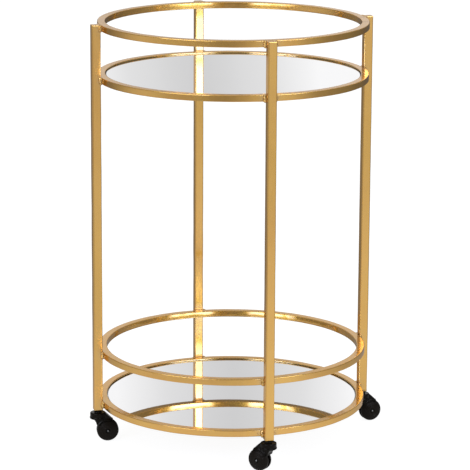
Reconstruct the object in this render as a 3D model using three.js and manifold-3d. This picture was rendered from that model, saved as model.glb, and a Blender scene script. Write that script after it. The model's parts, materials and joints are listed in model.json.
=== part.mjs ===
// A round two-shelf serving cart on wheels.
//
// Four upright square tubes are welded outside four rolled rectangular-tube
// rings. Two of the rings are guard rails and two carry a round mirror shelf on
// small welded tabs. Every upright ends in a plug insert, a swivel stem and a
// hooded twin-wheel caster.
//
// Millimetres, +Z up. The floor is z = 0 and the cart's centre line is x = y = 0.
// The uprights stand on the diagonals of the X and Y axes.
import * as THREE from "three";
import { mergeVertices } from "three/addons/utils/BufferGeometryUtils.js";
import Module from "manifold-3d";

const wasm = await Module();
wasm.setup();

// ---------------------------------------------------------------- dimensions
const TOP_Z = 633; // top of the uprights and of the top rail
const RING_OUTER_R = 201.5; // outer radius of all four rings
const RING_TUBE_W = 12; // radial width of the ring tube
const RING_TUBE_H = 10; // height of the ring tube
const RING_WALL = 1.2; // wall of the ring tube
const RING_SEGMENTS = 64;
const RING_TOPS = {
  top_rail_ring: TOP_Z,
  upper_shelf_ring: 555.5,
  lower_rail_ring: 139,
  lower_shelf_ring: 61.5,
};
const VENT_R = 2; // gas vent under each closed ring tube

const POST_W = 13.5; // square tube of the uprights
const POST_WALL = 1.2;
const POST_R = 208.45; // centre line of the uprights
const POST_BOTTOM_Z = 48;
const POST_CAP_T = 2; // plate let into the tube's top
const POSTS = {
  front_left: 225,
  front_right: 315,
  back_right: 45,
  back_left: 135,
}; // degrees about +Z

const MIRROR_RECESS = 2.5; // the glass sits this far below its ring's top
const MIRROR_T = 3;
const MIRROR_R = 188.7;
const BOARD_T = 2; // hardboard behind the glass
const BOARD_R = 188.2;
const GAP = 0.3; // glue or paint gap between pieces that touch
const TAB_W = 24;
const TAB_D = 18;
const TAB_T = 1.8;
const TAB_OUT = 188.6; // where a tab meets its ring's inner wall
const TAB_ANGLES = [0, 90, 180, 270];

// caster, in its own frame: stem axis x = y = 0, wheels trail along +X
const TRAIL = 14.4; // stem axis to axle
const WHEEL_R = 16.5;
const WHEEL_IN = 2.5; // inner face of each wheel from the centre plane
const WHEEL_OUT = 10.2; // hub face of each wheel
const WHEEL_BORE_R = 2.25;
const AXLE_R = 2;
const AXLE_HEAD_R = 3.2;
const AXLE_HEAD_OUT = 11.2;
const WEB_T = 4; // hood's centre web between the wheels
const WEB_R = 12;
const BOSS_R = 12;
const BOSS_BOTTOM = 34.5;
const BOSS_TOP = 44.5;
const NECK_R = 5.8; // the boss's neck, up to the stem's collar
const NECK_TOP = 46.3;
const HOOD_R_IN = 17.3; // fender over the wheels, about the axle
const HOOD_R_OUT = 19;
const HOOD_W = 18.4; // fender's width across the wheels
const HOOD_FROM = 64; // fender's arc, degrees about the axle from +X
const HOOD_TO = 150;
const SHOULDER_W = 16.4; // the shoulder between boss and fender, across
const SHOULDER = [
  [4, 43.5],
  [4, 35],
  [14.4, 34.7],
  [18.6, 34],
  [18.9, 35.2],
  [15.2, 39.2],
  [11.6, 42.6],
  [9, 43.8],
]; // its outline, along the caster and up
const STEM_R = 3.5;
const STEM_BORE_R = 3.7;
const COLLAR_R = 5.6;
const PLUG_W = 10.4;
const PLUG_H = 20;
const PLUG_BORE_R = 4;
const STEM_TOP_Z = 64;
// Which way each caster trails, degrees about +Z. The casters are free, so they
// rest as they were last rolled.
const CASTER_TURN = {
  front_left: 38,
  front_right: 178,
  back_right: 53,
  back_left: 64,
};

// ----------------------------------------------------------------- materials
const gold = new THREE.MeshStandardMaterial({
  color: 0xd2aa6a,
  roughness: 0.38,
  metalness: 0.9,
});
const mirrorGlass = new THREE.MeshStandardMaterial({
  color: 0xdfe2e4,
  roughness: 0.02,
  metalness: 1,
});
const board = new THREE.MeshStandardMaterial({ color: 0x4a4642, roughness: 0.85 });
const blackNylon = new THREE.MeshStandardMaterial({
  color: 0x17171a,
  roughness: 0.4,
});
const wheelPlastic = new THREE.MeshStandardMaterial({
  color: 0x1b1b1d,
  roughness: 0.5,
});
const steel = new THREE.MeshStandardMaterial({
  color: 0x9b9b98,
  roughness: 0.35,
  metalness: 1,
});

// ------------------------------------------------------------------- helpers
const rad = (d) => (d * Math.PI) / 180;

// A closed surface as a solid that can be cut and joined.
function solid(geometry) {
  const g = geometry.clone();
  g.deleteAttribute("normal");
  g.deleteAttribute("uv");
  const m = mergeVertices(g, 1e-4);
  return new wasm.Manifold(
    new wasm.Mesh({
      numProp: 3,
      vertProperties: m.attributes.position.array,
      triVerts: new Uint32Array(m.index.array),
    }),
  );
}

function geometryOf(manifold) {
  const mesh = manifold.getMesh();
  const g = new THREE.BufferGeometry();
  g.setAttribute(
    "position",
    new THREE.BufferAttribute(new Float32Array(mesh.vertProperties), 3),
  );
  g.setIndex(new THREE.BufferAttribute(new Uint32Array(mesh.triVerts), 1));
  g.computeVertexNormals();
  return g;
}

// A profile of [radius, z] pairs, counter-clockwise, turned about +Z.
function turned(profile, segments, closed = false) {
  const pts = profile.map(([r, z]) => new THREE.Vector2(r, z));
  if (closed) pts.push(pts[0].clone());
  const g = new THREE.LatheGeometry(pts, segments);
  g.rotateX(Math.PI / 2);
  return g;
}

// A box from its lowest and highest corners.
function block(lo, hi) {
  const g = new THREE.BoxGeometry(hi[0] - lo[0], hi[1] - lo[1], hi[2] - lo[2]);
  g.translate((lo[0] + hi[0]) / 2, (lo[1] + hi[1]) / 2, (lo[2] + hi[2]) / 2);
  return g;
}

// A cylinder along +Z from z0 to z1.
function rod(r, z0, z1, segments = 24) {
  const g = new THREE.CylinderGeometry(r, r, z1 - z0, segments);
  g.rotateX(Math.PI / 2);
  g.translate(0, 0, (z0 + z1) / 2);
  return g;
}

const cart = new THREE.Group();

function add(group, name, geometry, material) {
  const mesh = new THREE.Mesh(geometry, material);
  mesh.name = name;
  group.add(mesh);
  return mesh;
}

// -------------------------------------------------------------------- frame
// Each ring is a closed loop of hollow tube with one small vent underneath.
for (const [name, top] of Object.entries(RING_TOPS)) {
  const r1 = RING_OUTER_R;
  const r0 = r1 - RING_TUBE_W;
  const z1 = top;
  const z0 = top - RING_TUBE_H;
  const w = RING_WALL;
  const outer = solid(
    turned([[r0, z0], [r1, z0], [r1, z1], [r0, z1]], RING_SEGMENTS, true),
  );
  const inner = solid(
    turned(
      [[r0 + w, z0 + w], [r1 - w, z0 + w], [r1 - w, z1 - w], [r0 + w, z1 - w]],
      RING_SEGMENTS,
      true,
    ),
  );
  const vent = rod(VENT_R, z0 - 1, z0 + w + 1, 12);
  const at = rad(22.5);
  const rm = (r0 + r1) / 2;
  vent.translate(rm * Math.cos(at), rm * Math.sin(at), 0);
  add(
    cart,
    name,
    geometryOf(outer.subtract(inner).subtract(solid(vent))),
    gold,
  );
}

for (const [where, angle] of Object.entries(POSTS)) {
  const corner = new THREE.Group();
  corner.rotation.z = rad(angle);
  cart.add(corner);
  const stand = new THREE.Group();
  stand.position.x = POST_R;
  corner.add(stand);

  const h = POST_W / 2;
  const i = h - POST_WALL;
  const tube = solid(block([-h, -h, POST_BOTTOM_Z], [h, h, TOP_Z])).subtract(
    solid(block([-i, -i, POST_BOTTOM_Z - 1], [i, i, TOP_Z + 1])),
  );
  add(stand, `post_${where}`, geometryOf(tube), gold);

  // the plate let into the top of the tube, flush with it
  const c = i - GAP;
  add(
    stand,
    `post_cap_${where}`,
    block([-c, -c, TOP_Z - POST_CAP_T], [c, c, TOP_Z]),
    gold,
  );

  // the insert that takes the caster's stem
  const p = PLUG_W / 2;
  const plug = solid(
    block([-p, -p, POST_BOTTOM_Z], [p, p, POST_BOTTOM_Z + PLUG_H]),
  ).subtract(
    solid(rod(PLUG_BORE_R, POST_BOTTOM_Z - 1, POST_BOTTOM_Z + PLUG_H + 1, 20)),
  );
  add(stand, `stem_plug_${where}`, geometryOf(plug), blackNylon);

  // the steel stem: a shank in the plug, a collar under the tube, and the pin
  // that the hood turns on
  add(
    stand,
    `caster_stem_${where}`,
    turned(
      [
        [0, BOSS_BOTTOM + 1.5],
        [STEM_R, BOSS_BOTTOM + 1.5],
        [STEM_R, NECK_TOP + GAP],
        [COLLAR_R, NECK_TOP + GAP],
        [COLLAR_R, POST_BOTTOM_Z - GAP],
        [STEM_R, POST_BOTTOM_Z - GAP],
        [STEM_R, STEM_TOP_Z - 1],
        [STEM_R - 1, STEM_TOP_Z],
        [0, STEM_TOP_Z],
      ],
      20,
    ),
    steel,
  );

  // ------------------------------------------------------------- the caster
  const caster = new THREE.Group();
  caster.rotation.z = rad(CASTER_TURN[where] - angle);
  stand.add(caster);

  // Hood: boss with its neck, fender over the front and top of the wheels, and
  // centre web.
  const boss = solid(
    turned(
      [
        [0, BOSS_BOTTOM],
        [BOSS_R - 1.5, BOSS_BOTTOM],
        [BOSS_R, BOSS_BOTTOM + 1.5],
        [BOSS_R, BOSS_TOP - 1.8],
        [BOSS_R - 1.8, BOSS_TOP],
        [NECK_R, BOSS_TOP],
        [NECK_R, NECK_TOP],
        [0, NECK_TOP],
      ],
      28,
    ),
  );
  const fenderShape = new THREE.Shape();
  const steps = 8;
  for (let k = 0; k <= steps; k++) {
    const a = rad(HOOD_FROM + ((HOOD_TO - HOOD_FROM) * k) / steps);
    const x = TRAIL + HOOD_R_OUT * Math.cos(a);
    const z = WHEEL_R + HOOD_R_OUT * Math.sin(a);
    if (k === 0) fenderShape.moveTo(x, z);
    else fenderShape.lineTo(x, z);
  }
  for (let k = steps; k >= 0; k--) {
    const a = rad(HOOD_FROM + ((HOOD_TO - HOOD_FROM) * k) / steps);
    fenderShape.lineTo(
      TRAIL + HOOD_R_IN * Math.cos(a),
      WHEEL_R + HOOD_R_IN * Math.sin(a),
    );
  }
  const fender = new THREE.ExtrudeGeometry(fenderShape, {
    depth: HOOD_W,
    bevelEnabled: false,
  });
  fender.rotateX(Math.PI / 2);
  fender.translate(0, HOOD_W / 2, 0);

  // the shoulder that runs from the boss down to the fender's end
  const shoulderShape = new THREE.Shape();
  SHOULDER.forEach(([x, z], k) => {
    if (k === 0) shoulderShape.moveTo(x, z);
    else shoulderShape.lineTo(x, z);
  });
  shoulderShape.closePath();
  const shoulder = new THREE.ExtrudeGeometry(shoulderShape, {
    depth: SHOULDER_W,
    bevelEnabled: false,
  });
  shoulder.rotateX(Math.PI / 2);
  shoulder.translate(0, SHOULDER_W / 2, 0);

  const disc = rod(WEB_R, -WEB_T / 2, WEB_T / 2, 28);
  disc.rotateX(Math.PI / 2);
  disc.translate(TRAIL, 0, WHEEL_R);
  const rib = block(
    [TRAIL - 13, -WEB_T / 2, WHEEL_R + 4],
    [TRAIL, WEB_T / 2, WHEEL_R + HOOD_R_IN + 0.6],
  );
  const axleHole = rod(AXLE_R + 0.15, -5, 5, 20);
  axleHole.rotateX(Math.PI / 2);
  axleHole.translate(TRAIL, 0, WHEEL_R);
  const stemHole = rod(STEM_BORE_R, BOSS_BOTTOM + 1.2, NECK_TOP + 2, 20);
  const hood = boss
    .add(solid(fender))
    .add(solid(shoulder))
    .add(solid(disc))
    .add(solid(rib))
    .subtract(solid(axleHole))
    .subtract(solid(stemHole));
  add(caster, `caster_hood_${where}`, geometryOf(hood), blackNylon);

  // Axle: a pin through the web and both wheels, with a flat head at each end.
  const axle = turned(
    [
      [0, -AXLE_HEAD_OUT],
      [AXLE_HEAD_R, -AXLE_HEAD_OUT],
      [AXLE_HEAD_R, -WHEEL_OUT - GAP],
      [AXLE_R, -WHEEL_OUT - GAP],
      [AXLE_R, WHEEL_OUT + GAP],
      [AXLE_HEAD_R, WHEEL_OUT + GAP],
      [AXLE_HEAD_R, AXLE_HEAD_OUT],
      [0, AXLE_HEAD_OUT],
    ],
    20,
  );
  axle.rotateX(Math.PI / 2);
  axle.translate(TRAIL, 0, WHEEL_R);
  add(caster, `caster_axle_${where}`, axle, steel);

  // Wheels: a short tread beside the web, then a domed side down to the hub.
  for (const [side, sign] of [["left", 1], ["right", -1]]) {
    const profile = [[WHEEL_BORE_R, WHEEL_IN], [WHEEL_R - 0.6, WHEEL_IN]];
    profile.push([WHEEL_R, WHEEL_IN + 0.6], [WHEEL_R, WHEEL_IN + 1.4]);
    const y0 = WHEEL_IN + 1.4;
    const r0 = 4.6;
    for (const t of [26, 48, 70, 90]) {
      profile.push([
        r0 + (WHEEL_R - r0) * Math.cos(rad(t)),
        y0 + (WHEEL_OUT - y0) * Math.sin(rad(t)),
      ]);
    }
    profile.push([WHEEL_BORE_R, WHEEL_OUT]);
    const wheel = turned(profile, 24, true);
    // the profile's axis goes across the caster
    wheel.rotateX(sign > 0 ? -Math.PI / 2 : Math.PI / 2);
    wheel.translate(TRAIL, 0, WHEEL_R);
    add(caster, `caster_wheel_${side}_${where}`, wheel, wheelPlastic);
  }
}

// ------------------------------------------------------------------- shelves
for (const [level, top] of [
  ["upper", RING_TOPS.upper_shelf_ring],
  ["lower", RING_TOPS.lower_shelf_ring],
]) {
  const glassTop = top - MIRROR_RECESS;
  const glassBottom = glassTop - MIRROR_T;
  add(
    cart,
    `${level}_mirror`,
    turned(
      [[0, glassBottom], [MIRROR_R, glassBottom], [MIRROR_R, glassTop], [0, glassTop]],
      RING_SEGMENTS,
    ),
    mirrorGlass,
  );
  const boardTop = glassBottom - GAP;
  const boardBottom = boardTop - BOARD_T;
  add(
    cart,
    `${level}_mirror_board`,
    turned(
      [[0, boardBottom], [BOARD_R, boardBottom], [BOARD_R, boardTop], [0, boardTop]],
      RING_SEGMENTS,
    ),
    board,
  );
  const tabTop = boardBottom - GAP;
  TAB_ANGLES.forEach((angle, k) => {
    const arm = new THREE.Group();
    arm.rotation.z = rad(angle);
    cart.add(arm);
    add(
      arm,
      `${level}_shelf_tab_${k + 1}`,
      block(
        [TAB_OUT - TAB_D, -TAB_W / 2, tabTop - TAB_T],
        [TAB_OUT, TAB_W / 2, tabTop],
      ),
      gold,
    );
  });
}

export default cart;
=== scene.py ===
"""Looks of the round two-shelf bar cart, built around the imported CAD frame."""

import json
import math

import bmesh  # noqa: E402
import bpy  # noqa: E402
import numpy as np  # noqa: E402
from mathutils import Matrix, Vector  # noqa: E402

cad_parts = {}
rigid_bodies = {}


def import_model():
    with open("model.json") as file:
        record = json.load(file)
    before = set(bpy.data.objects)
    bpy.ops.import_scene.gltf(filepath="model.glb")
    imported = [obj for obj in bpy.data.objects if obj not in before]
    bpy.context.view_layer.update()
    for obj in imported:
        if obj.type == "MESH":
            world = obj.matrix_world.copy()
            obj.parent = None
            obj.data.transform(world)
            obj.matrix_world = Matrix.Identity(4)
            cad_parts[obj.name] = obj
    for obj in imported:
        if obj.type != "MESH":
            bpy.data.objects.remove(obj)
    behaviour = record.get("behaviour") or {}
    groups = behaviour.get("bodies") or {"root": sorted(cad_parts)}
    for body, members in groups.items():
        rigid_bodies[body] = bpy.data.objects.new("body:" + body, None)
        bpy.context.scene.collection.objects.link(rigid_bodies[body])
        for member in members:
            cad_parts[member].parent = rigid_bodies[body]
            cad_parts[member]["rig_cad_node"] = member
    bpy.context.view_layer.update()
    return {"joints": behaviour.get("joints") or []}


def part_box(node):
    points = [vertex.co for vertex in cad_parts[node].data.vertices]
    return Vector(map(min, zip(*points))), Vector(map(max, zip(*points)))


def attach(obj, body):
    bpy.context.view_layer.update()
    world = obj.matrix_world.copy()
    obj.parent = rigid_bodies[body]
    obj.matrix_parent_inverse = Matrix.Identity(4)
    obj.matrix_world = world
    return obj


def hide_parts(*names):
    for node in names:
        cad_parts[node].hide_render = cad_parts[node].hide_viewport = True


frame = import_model()

MM = 0.001

# ------------------------------------------------------------------ sizes, mm
# Most of them are read from the imported frame, so that the looks follow it; the tube and upright widths and the
# uprights' angles are given.


def span(node, axis):
    lo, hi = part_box(node)
    return lo[axis] / MM, hi[axis] / MM


RINGS = ["top_rail_ring", "upper_shelf_ring", "lower_rail_ring", "lower_shelf_ring"]
R_OUT = span("top_rail_ring", 0)[1]
RING_Z = {n: span(n, 2) for n in RINGS}
TUBE_W = 12.0
WHERE = ["front_left", "front_right", "back_right", "back_left"]
POST_ANGLE = {"front_left": 225, "front_right": 315, "back_right": 45, "back_left": 135}
POST_W = 13.5
JOINT = {j["name"]: j for j in frame["joints"]}
STEM = {w: Vector(JOINT[f"swivel_{w}"]["pos_m"]) / MM for w in WHERE}
POST_R = math.hypot(STEM["front_left"].x, STEM["front_left"].y)
POST_Z = span("post_front_left", 2)
AXLE = {w: Vector(JOINT[f"roll_left_{w}"]["pos_m"]) / MM for w in WHERE}


def trail_angle(w):
    d = AXLE[w] - STEM[w]
    return math.atan2(d.y, d.x)


# ---------------------------------------------------------------- mesh makers
def waves(seed, scale, count=22):
    """A smooth random field of unit size: a function of an (N,3) array in mm."""
    rng = np.random.default_rng(seed)
    k = rng.normal(size=(count, 3))
    k *= (2 * math.pi / scale) * rng.uniform(0.6, 1.4, size=(count, 1)) / np.linalg.norm(k, axis=1)[:, None]
    ph = rng.uniform(0, 2 * math.pi, count)

    def f(p):
        return np.sin(p @ k.T + ph).sum(1) / math.sqrt(count / 2)

    return f


def mesh_object(name, verts, faces, smooth=True):
    """A mesh object from vertices in mm and faces, in the row frame."""
    me = bpy.data.meshes.new(name)
    me.from_pydata((np.asarray(verts, float) * MM).tolist(), [], [list(map(int, f)) for f in faces])
    me.validate()
    me.update()
    if smooth:
        me.polygons.foreach_set("use_smooth", [True] * len(me.polygons))
    o = bpy.data.objects.new(name, me)
    bpy.context.scene.collection.objects.link(o)
    return o


def rounded_rect(w, h, r, arc=5, along=(3, 3), support=0.35):
    """Points of a rounded rectangle, counter-clockwise from the right side's foot, and their outward normals."""
    pts, nrm = [], []
    corners = [(w / 2 - r, h / 2 - r, 0), (-w / 2 + r, h / 2 - r, 90), (-w / 2 + r, -h / 2 + r, 180), (w / 2 - r, -h / 2 + r, 270)]
    for i, (cx, cy, a0) in enumerate(corners):
        for k in range(arc + 1):
            a = math.radians(a0 + 90 * k / arc)
            pts.append((cx + r * math.cos(a), cy + r * math.sin(a)))
            nrm.append((math.cos(a), math.sin(a)))
        a = math.radians(a0 + 90)
        nx, ny = math.cos(a), math.sin(a)
        length = (w if i % 2 == 0 else h) - 2 * r
        n = along[i % 2]
        p = np.array(pts[-1])
        d = np.array([-ny, nx])
        ts = [support] + list(np.linspace(support, length - support, n + 2)[1:-1]) + [length - support]
        for t in ts:
            q = p + d * t
            pts.append(tuple(q))
            nrm.append((nx, ny))
    return np.array(pts), np.array(nrm)


def grid_faces(n_ring, n_prof, close_ring=True, close_prof=True, flip=False):
    """Quads of a grid of n_ring sections of n_prof points."""
    faces = []
    for i in range(n_ring if close_ring else n_ring - 1):
        i2 = (i + 1) % n_ring
        for j in range(n_prof if close_prof else n_prof - 1):
            j2 = (j + 1) % n_prof
            f = (i * n_prof + j, i2 * n_prof + j, i2 * n_prof + j2, i * n_prof + j2)
            faces.append(f[::-1] if flip else f)
    return faces


def lathe(profile, segments=96):
    """Vertices and faces of a closed profile of (radius, z) turned about +Z. A radius of 0 becomes a pole."""
    verts, rows = [], []
    for r, z in profile:
        if r < 1e-9:
            rows.append([len(verts)])
            verts.append((0, 0, z))
        else:
            rows.append(list(range(len(verts), len(verts) + segments)))
            for k in range(segments):
                a = 2 * math.pi * k / segments
                verts.append((r * math.cos(a), r * math.sin(a), z))
    faces = []
    pairs = list(zip(rows, rows[1:]))
    if len(rows[0]) > 1 and len(rows[-1]) > 1:
        pairs.append((rows[-1], rows[0]))
    for a, b in pairs:
        for k in range(segments):
            k2 = (k + 1) % segments
            if len(a) == 1:
                faces.append((a[0], b[k2], b[k]))
            elif len(b) == 1:
                faces.append((a[k], a[k2], b[0]))
            else:
                faces.append((a[k], a[k2], b[k2], b[k]))
    return np.array(verts, float), faces


def soften(profile, r, steps=4):
    """Rounds the corners of an open polyline of (radius, z) points."""
    out = [profile[0]]
    for a, b, c in zip(profile, profile[1:], profile[2:]):
        a, b, c = map(np.array, (a, b, c))
        u, v = a - b, c - b
        lu, lv = np.linalg.norm(u), np.linalg.norm(v)
        t = min(r, lu * 0.45, lv * 0.45)
        p, q = b + u / lu * t, b + v / lv * t
        for k in range(steps + 1):
            s = k / steps
            out.append(tuple((1 - s) ** 2 * p + 2 * s * (1 - s) * b + s * s * q))
    out.append(profile[-1])
    return out


def place(verts, where, angle, z=0.0):
    """Turns vertices about +Z and moves them."""
    c, s = math.cos(angle), math.sin(angle)
    v = np.asarray(verts, float)
    return np.stack([where[0] + c * v[:, 0] - s * v[:, 1], where[1] + s * v[:, 0] + c * v[:, 1], v[:, 2] + z], 1)


# Signed distances, for moulded shapes with blended corners.
def smin(a, b, k):
    h = np.clip(0.5 + 0.5 * (b - a) / k, 0, 1)
    return b * (1 - h) + a * h - k * h * (1 - h)


def smax(a, b, k):
    return -smin(-a, -b, k)


def box2(dx, dy, r=0.0):
    dx, dy = dx + r, dy + r
    return np.hypot(np.maximum(dx, 0), np.maximum(dy, 0)) + np.minimum(np.maximum(dx, dy), 0) - r


def polygon2(x, y, pts):
    """Signed distance to a polygon."""
    pts = np.asarray(pts, float)
    d = np.full(x.shape, 1e18)
    inside = np.zeros(x.shape, bool)
    n = len(pts)
    for i in range(n):
        a, b = pts[i], pts[(i + 1) % n]
        e = b - a
        wx, wy = x - a[0], y - a[1]
        t = np.clip((wx * e[0] + wy * e[1]) / (e @ e), 0, 1)
        d = np.minimum(d, (wx - e[0] * t) ** 2 + (wy - e[1] * t) ** 2)
        cond = (a[1] > y) != (b[1] > y)
        with np.errstate(divide="ignore", invalid="ignore"):
            cross = x < (b[0] - a[0]) * (y - a[1]) / (b[1] - a[1]) + a[0]
        inside ^= cond & cross
    return np.where(inside, -np.sqrt(d), np.sqrt(d))


def surface(f, lo, hi, h):
    """A quad mesh of f = 0, by surface nets, drawn onto the surface."""
    lo, hi = np.array(lo, float), np.array(hi, float)
    n = np.ceil((hi - lo) / h).astype(int) + 1
    g = [lo[i] + h * np.arange(n[i]) for i in range(3)]
    X, Y, Z = np.meshgrid(*g, indexing="ij")
    D = f(X, Y, Z)
    S = D < 0
    corner = [(i, j, k) for i in (0, 1) for j in (0, 1) for k in (0, 1)]
    count = sum(S[i : n[0] - 1 + i, j : n[1] - 1 + j, k : n[2] - 1 + k].astype(int) for i, j, k in corner)
    active = (count > 0) & (count < 8)
    index = -np.ones(active.shape, int)
    index[active] = np.arange(active.sum())
    c = np.stack(np.nonzero(active), 1)
    acc, num = np.zeros((len(c), 3)), np.zeros(len(c))
    for a in corner:
        for axis in range(3):
            if a[axis]:
                continue
            b = list(a)
            b[axis] = 1
            da = D[c[:, 0] + a[0], c[:, 1] + a[1], c[:, 2] + a[2]]
            db = D[c[:, 0] + b[0], c[:, 1] + b[1], c[:, 2] + b[2]]
            m = (da < 0) != (db < 0)
            t = np.where(m, da / np.where(m, da - db, 1), 0)
            p = np.array(a, float) + t[:, None] * (np.array(b, float) - np.array(a, float))
            acc[m] += p[m]
            num[m] += 1
    v = lo + h * (c + acc / num[:, None])
    for _ in range(3):
        e = 0.02
        d = f(v[:, 0], v[:, 1], v[:, 2])
        gr = np.stack([f(v[:, 0] + (i == 0) * e, v[:, 1] + (i == 1) * e, v[:, 2] + (i == 2) * e) - d for i in range(3)], 1) / e
        step = d / np.maximum((gr**2).sum(1), 0.25)
        v -= np.clip(step, -h * 0.5, h * 0.5)[:, None] * gr
    faces = []
    for axis in range(3):
        o1, o2 = (axis + 1) % 3, (axis + 2) % 3
        s0 = [slice(None)] * 3
        s1 = [slice(None)] * 3
        s0[axis], s1[axis] = slice(0, n[axis] - 1), slice(1, n[axis])
        a, b = S[tuple(s0)], S[tuple(s1)]
        ch = np.stack(np.nonzero(a != b), 1)
        up = a[tuple(ch.T)]
        ok = (ch[:, o1] > 0) & (ch[:, o2] > 0) & (ch[:, o1] < n[o1] - 1) & (ch[:, o2] < n[o2] - 1)
        ch, up = ch[ok], up[ok]
        q = []
        for d1, d2 in ((-1, -1), (0, -1), (0, 0), (-1, 0)):
            t = ch.copy()
            t[:, o1] += d1
            t[:, o2] += d2
            q.append(index[tuple(t.T)])
        q = np.stack(q, 1)
        q[~up] = q[~up][:, ::-1]
        faces.append(q)
    return v, np.concatenate(faces)


# ------------------------------------------------------------------ materials
def new_material(name):
    m = bpy.data.materials.new(name)
    m.use_nodes = True
    nt = m.node_tree
    bsdf = next(n for n in nt.nodes if n.type == "BSDF_PRINCIPLED")
    return m, nt, bsdf


def node(nt, kind, **inputs):
    n = nt.nodes.new(kind)
    for k, v in inputs.items():
        if k in ("operation", "blend_type", "data_type", "interpolation_type", "noise_dimensions", "feature", "distance", "wave_type", "bands_direction", "clamp", "use_clamp", "normalize"):
            setattr(n, k, v)
    return n


def noise_tex(nt, vector, scale, detail=3.0, roughness=0.5, distortion=0.0):
    n = nt.nodes.new("ShaderNodeTexNoise")
    n.inputs["Scale"].default_value = scale
    n.inputs["Detail"].default_value = detail
    n.inputs["Roughness"].default_value = roughness
    n.inputs["Distortion"].default_value = distortion
    nt.links.new(vector, n.inputs["Vector"])
    return n.outputs["Fac"]


def map_range(nt, value, a, b, c, d, smooth=False):
    n = nt.nodes.new("ShaderNodeMapRange")
    if smooth:
        n.interpolation_type = "SMOOTHSTEP"
    n.inputs["From Min"].default_value = a
    n.inputs["From Max"].default_value = b
    n.inputs["To Min"].default_value = c
    n.inputs["To Max"].default_value = d
    nt.links.new(value, n.inputs["Value"])
    return n.outputs["Result"]


def math_node(nt, op, a, b=None):
    n = nt.nodes.new("ShaderNodeMath")
    n.operation = op
    for i, v in enumerate((a, b)):
        if v is None:
            continue
        if isinstance(v, (int, float)):
            n.inputs[i].default_value = v
        else:
            nt.links.new(v, n.inputs[i])
    return n.outputs[0]


def mix_color(nt, fac, a, b):
    n = nt.nodes.new("ShaderNodeMix")
    n.data_type = "RGBA"
    if isinstance(fac, (int, float)):
        n.inputs["Factor"].default_value = fac
    else:
        nt.links.new(fac, n.inputs["Factor"])
    for sock, v in (("A", a), ("B", b)):
        s = [i for i in n.inputs if i.name == sock and i.type == "RGBA"][0]
        if isinstance(v, tuple):
            s.default_value = (*v, 1.0)
        else:
            nt.links.new(v, s)
    return [o for o in n.outputs if o.type == "RGBA"][0]


def object_coords(nt, scale=(1, 1, 1)):
    tc = nt.nodes.new("ShaderNodeTexCoord")
    mp = nt.nodes.new("ShaderNodeMapping")
    mp.inputs["Scale"].default_value = scale
    nt.links.new(tc.outputs["Object"], mp.inputs["Vector"])
    return mp.outputs["Vector"]


def bump(nt, height, strength, distance, normal=None):
    b = nt.nodes.new("ShaderNodeBump")
    b.inputs["Strength"].default_value = strength
    b.inputs["Distance"].default_value = distance
    nt.links.new(height, b.inputs["Height"])
    if normal is not None:
        nt.links.new(normal, b.inputs["Normal"])
    return b.outputs["Normal"]


GOLD = (0.742, 0.414, 0.053)
GOLD_DEEP = (0.712, 0.370, 0.045)
GOLD_PALE = (0.815, 0.470, 0.092)
GOLD_PAINTED_SHADE = (0.34, 0.145, 0.018)
GOLD_PAINTED_REFLECTION = (0.50, 0.36, 0.16)


def gold_material(name, stretch=(1, 1, 1), peel_depth=0.000014, painted_shade=0.8):
    """Satin gold lacquer over steel tube: flake tint, orange peel, rubbed edges, painted shade darkening the corners
    and a painted paler reflection tone near the joints.
    """
    m, nt, bsdf = new_material(name)
    co = object_coords(nt, stretch)
    co1 = object_coords(nt)
    broad = noise_tex(nt, co, 22, 3, 0.5)
    mid = noise_tex(nt, co, 150, 3, 0.55)
    flake = noise_tex(nt, co1, 3800, 2, 0.6)
    c1 = mix_color(nt, map_range(nt, broad, 0.32, 0.70, 0, 1, True), GOLD_DEEP, GOLD)
    c2 = mix_color(nt, map_range(nt, mid, 0.50, 0.80, 0, 0.30, True), c1, GOLD_PALE)
    c3 = mix_color(nt, map_range(nt, flake, 0.52, 0.74, 0, 0.30, True), c2, GOLD_PALE)
    geo = nt.nodes.new("ShaderNodeNewGeometry")
    rub = map_range(nt, geo.outputs["Pointiness"], 0.515, 0.56, 0, 0.5, True)
    c4 = mix_color(nt, math_node(nt, "MULTIPLY", rub, map_range(nt, mid, 0.35, 0.6, 0.4, 1.0)), c3, GOLD_PALE)
    # painted shade: the colour darkens toward deep brown within 3 mm of other surfaces, by ambient occlusion
    ao = nt.nodes.new("ShaderNodeAmbientOcclusion")
    ao.samples = 6
    ao.inputs["Distance"].default_value = 0.003
    c5 = mix_color(nt, map_range(nt, ao.outputs["AO"], 0.20, 0.75, painted_shade, 0.0, True), c4, GOLD_PAINTED_SHADE)
    # painted reflection: the colour goes paler and duller within 16 mm of other parts, by ambient occlusion, so that
    # where two tubes meet their reflections of each other read paler
    near = nt.nodes.new("ShaderNodeAmbientOcclusion")
    near.samples = 4
    near.inputs["Distance"].default_value = 0.016
    c6 = mix_color(nt, map_range(nt, near.outputs["AO"], 0.45, 0.95, 0.70, 0.0, True), c5, GOLD_PAINTED_REFLECTION)
    nt.links.new(c6, bsdf.inputs["Base Color"])
    bsdf.inputs["Metallic"].default_value = 1.0
    rough = math_node(nt, "ADD", map_range(nt, broad, 0.3, 0.7, 0.185, 0.225), map_range(nt, mid, 0.3, 0.7, -0.012, 0.025))
    nt.links.new(rough, bsdf.inputs["Roughness"])
    peel = noise_tex(nt, co1, 700, 2, 0.5)
    n1 = bump(nt, peel, 0.35, peel_depth)
    n2 = bump(nt, broad, 0.2, 0.0003, n1)
    nt.links.new(n2, bsdf.inputs["Normal"])
    bsdf.inputs["Specular Tint"].default_value = (0.80, 0.66, 0.48, 1)
    bsdf.inputs["Coat Weight"].default_value = 0.55
    bsdf.inputs["Coat Roughness"].default_value = 0.09
    bsdf.inputs["Coat IOR"].default_value = 2.4
    return m


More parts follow.
